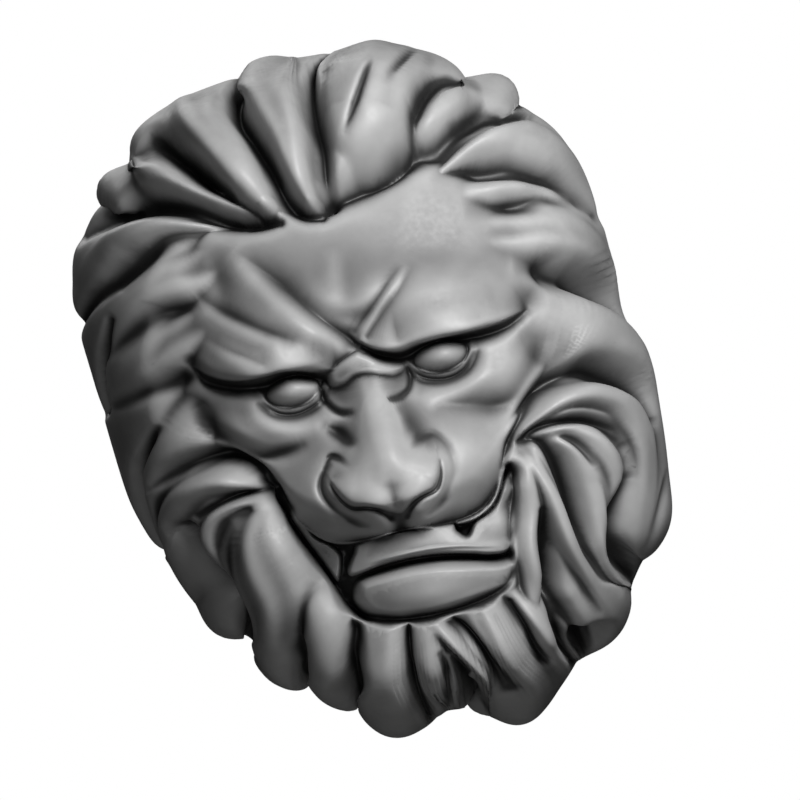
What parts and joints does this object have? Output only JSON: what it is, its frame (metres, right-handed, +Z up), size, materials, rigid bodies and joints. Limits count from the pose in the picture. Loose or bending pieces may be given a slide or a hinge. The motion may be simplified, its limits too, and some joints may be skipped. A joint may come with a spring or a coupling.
{
  "type": "lion head wall mask",
  "caption": "Wall-hung lion head mask in grey cast stone: frowning face, open mouth, swept mane and beard, flat back that seats on a wall.",
  "frame": {"origin": "on the flat back that seats on the wall, straight behind the middle of the head", "axes": "+Y into the wall, square to the flat back; the face looks along -Y; +Z up; +X to the right as seen by a viewer in front"},
  "size_m": [0.3187, 0.2016, 0.4106],
  "materials": {
    "cast_stone": "smooth fine-grained grey cast stone with a soft satin sheen on worn high spots"
  },
  "bodies": {
    "root": {"lion_mask": "cast_stone"}
  },
  "joints": []
}
